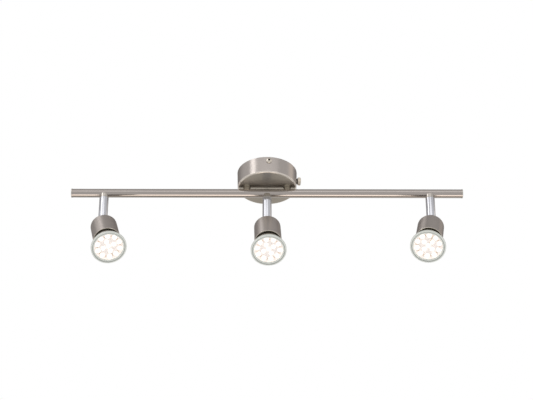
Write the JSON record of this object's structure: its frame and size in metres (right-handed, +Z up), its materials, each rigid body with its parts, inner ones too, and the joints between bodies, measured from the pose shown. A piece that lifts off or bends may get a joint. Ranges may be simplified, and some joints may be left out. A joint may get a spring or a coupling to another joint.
{
  "type": "ceiling spot bar",
  "caption": "Ceiling spot bar: round canopy, straight tube bar, swivel arms and tilting bayonet spot heads with lit lamps.",
  "frame": {"origin": "centre of the ceiling mounting plane, at the middle of the bracket's two slots", "axes": "+Z up into the ceiling, X along the bar, -Y the front that the heads lean to"},
  "size_m": [0.564, 0.1063, 0.1631],
  "materials": {
    "canopy_nickel": "brushed satin nickel",
    "bar_nickel": "brushed satin nickel",
    "polished_nickel": "polished nickel",
    "arm_chrome": "polished chrome",
    "head_nickel": "brushed satin nickel",
    "zinc_steel": "zinc plated",
    "insert_steel": "machined",
    "terminal_plastic": "moulded",
    "terminal_brass": "plain",
    "live_insulation": "brown insulation",
    "neutral_insulation": "blue insulation",
    "earth_insulation": "green and yellow insulation",
    "holder_ceramic": "glazed white ceramic",
    "lamp_base_ceramic": "glazed white ceramic",
    "lamp_glass": "pressed glass",
    "lamp_pin_metal": "nickel plated",
    "led_board_white": "white solder mask",
    "led_lit": "lit white light-emitting chip",
    "cover_glass": "clear"
  },
  "bodies": {
    "mounting_bar": {"ceiling_bracket": "zinc_steel", "canopy_cover": "canopy_nickel", "canopy_side_screws": "polished_nickel", "terminal_block": "terminal_plastic", "terminal_screws": "terminal_brass", "earth_screw": "zinc_steel", "wiring_live": "live_insulation", "wiring_neutral": "neutral_insulation", "wiring_earth": "earth_insulation", "bar_tube": "bar_nickel", "bar_end_plug_left": "bar_nickel", "bar_end_plug_right": "bar_nickel", "bar_post_left": "polished_nickel", "bar_post_right": "polished_nickel", "post_nipples": "zinc_steel", "post_nuts": "zinc_steel", "bar_tube_inserts": "insert_steel", "swivel_saddles": "bar_nickel", "swivel_nipples": "zinc_steel", "swivel_nuts": "zinc_steel"},
    "thumb_screw": {"canopy_thumb_screw": "polished_nickel"},
    "arm_left": {"arm_tube_left": "arm_chrome", "arm_fork_left": "arm_chrome", "hinge_screw_left": "zinc_steel"},
    "head_left": {"hinge_tongue_left": "arm_chrome", "tongue_nut_left": "zinc_steel", "head_shell_left": "head_nickel", "lamp_holder_left": "holder_ceramic"},
    "lamp_left": {"bulb_cup_left": "lamp_glass", "bulb_base_left": "lamp_base_ceramic", "bulb_pins_left": "lamp_pin_metal", "led_board_left": "led_board_white", "led_chips_left": "led_lit", "bulb_cover_left": "cover_glass"},
    "arm_centre": {"arm_tube_centre": "arm_chrome", "arm_fork_centre": "arm_chrome", "hinge_screw_centre": "zinc_steel"},
    "head_centre": {"hinge_tongue_centre": "arm_chrome", "tongue_nut_centre": "zinc_steel", "head_shell_centre": "head_nickel", "lamp_holder_centre": "holder_ceramic"},
    "lamp_centre": {"bulb_cup_centre": "lamp_glass", "bulb_base_centre": "lamp_base_ceramic", "bulb_pins_centre": "lamp_pin_metal", "led_board_centre": "led_board_white", "led_chips_centre": "led_lit", "bulb_cover_centre": "cover_glass"},
    "arm_right": {"arm_tube_right": "arm_chrome", "arm_fork_right": "arm_chrome", "hinge_screw_right": "zinc_steel"},
    "head_right": {"hinge_tongue_right": "arm_chrome", "tongue_nut_right": "zinc_steel", "head_shell_right": "head_nickel", "lamp_holder_right": "holder_ceramic"},
    "lamp_right": {"bulb_cup_right": "lamp_glass", "bulb_base_right": "lamp_base_ceramic", "bulb_pins_right": "lamp_pin_metal", "led_board_right": "led_board_white", "led_chips_right": "led_lit", "bulb_cover_right": "cover_glass"}
  },
  "joints": [
    {"name": "thumb_screw_turn", "type": "hinge", "parent": "mounting_bar", "child": "thumb_screw", "pos_m": [0.04292, 0.0027, -0.0116], "axis": [0.998, 0.0628, 0], "continuous": true},
    {"name": "swivel_left", "type": "hinge", "parent": "mounting_bar", "child": "arm_left", "pos_m": [-0.2345, 0, -0.0435], "axis": [0, 0, 1], "range_deg": [-197.2, 152.8]},
    {"name": "tilt_left", "type": "hinge", "parent": "arm_left", "child": "head_left", "pos_m": [-0.2345, 0, -0.083], "axis": [-0.9259, -0.3778, 0], "range_deg": [-30.9, 59.1]},
    {"name": "lamp_twist_left", "type": "hinge", "parent": "head_left", "child": "lamp_left", "pos_m": [-0.22872, -0.01417, -0.10857], "axis": [0.194, -0.4755, -0.8581], "range_deg": [0, 40]},
    {"name": "swivel_centre", "type": "hinge", "parent": "mounting_bar", "child": "arm_centre", "pos_m": [0, 0, -0.0435], "axis": [0, 0, 1], "range_deg": [-178.9, 171.1]},
    {"name": "tilt_centre", "type": "hinge", "parent": "arm_centre", "child": "head_centre", "pos_m": [0, 0, -0.083], "axis": [-0.9977, -0.068, 0], "range_deg": [-26.5, 63.5]},
    {"name": "lamp_twist_centre", "type": "hinge", "parent": "head_centre", "child": "lamp_centre", "pos_m": [0.0009, -0.01327, -0.10967], "axis": [0.0303, -0.4452, -0.8949], "range_deg": [0, 40]},
    {"name": "swivel_right", "type": "hinge", "parent": "mounting_bar", "child": "arm_right", "pos_m": [0.2345, 0, -0.0435], "axis": [0, 0, 1], "range_deg": [-159, 191]},
    {"name": "tilt_right", "type": "hinge", "parent": "arm_right", "child": "head_right", "pos_m": [0.2345, 0, -0.083], "axis": [-0.9613, 0.2756, 0], "range_deg": [-31.8, 58.2]},
    {"name": "lamp_twist_right", "type": "hinge", "parent": "head_right", "child": "lamp_right", "pos_m": [0.23017, -0.0151, -0.10833], "axis": [-0.1452, -0.5065, -0.8499], "range_deg": [0, 40]}
  ]
}
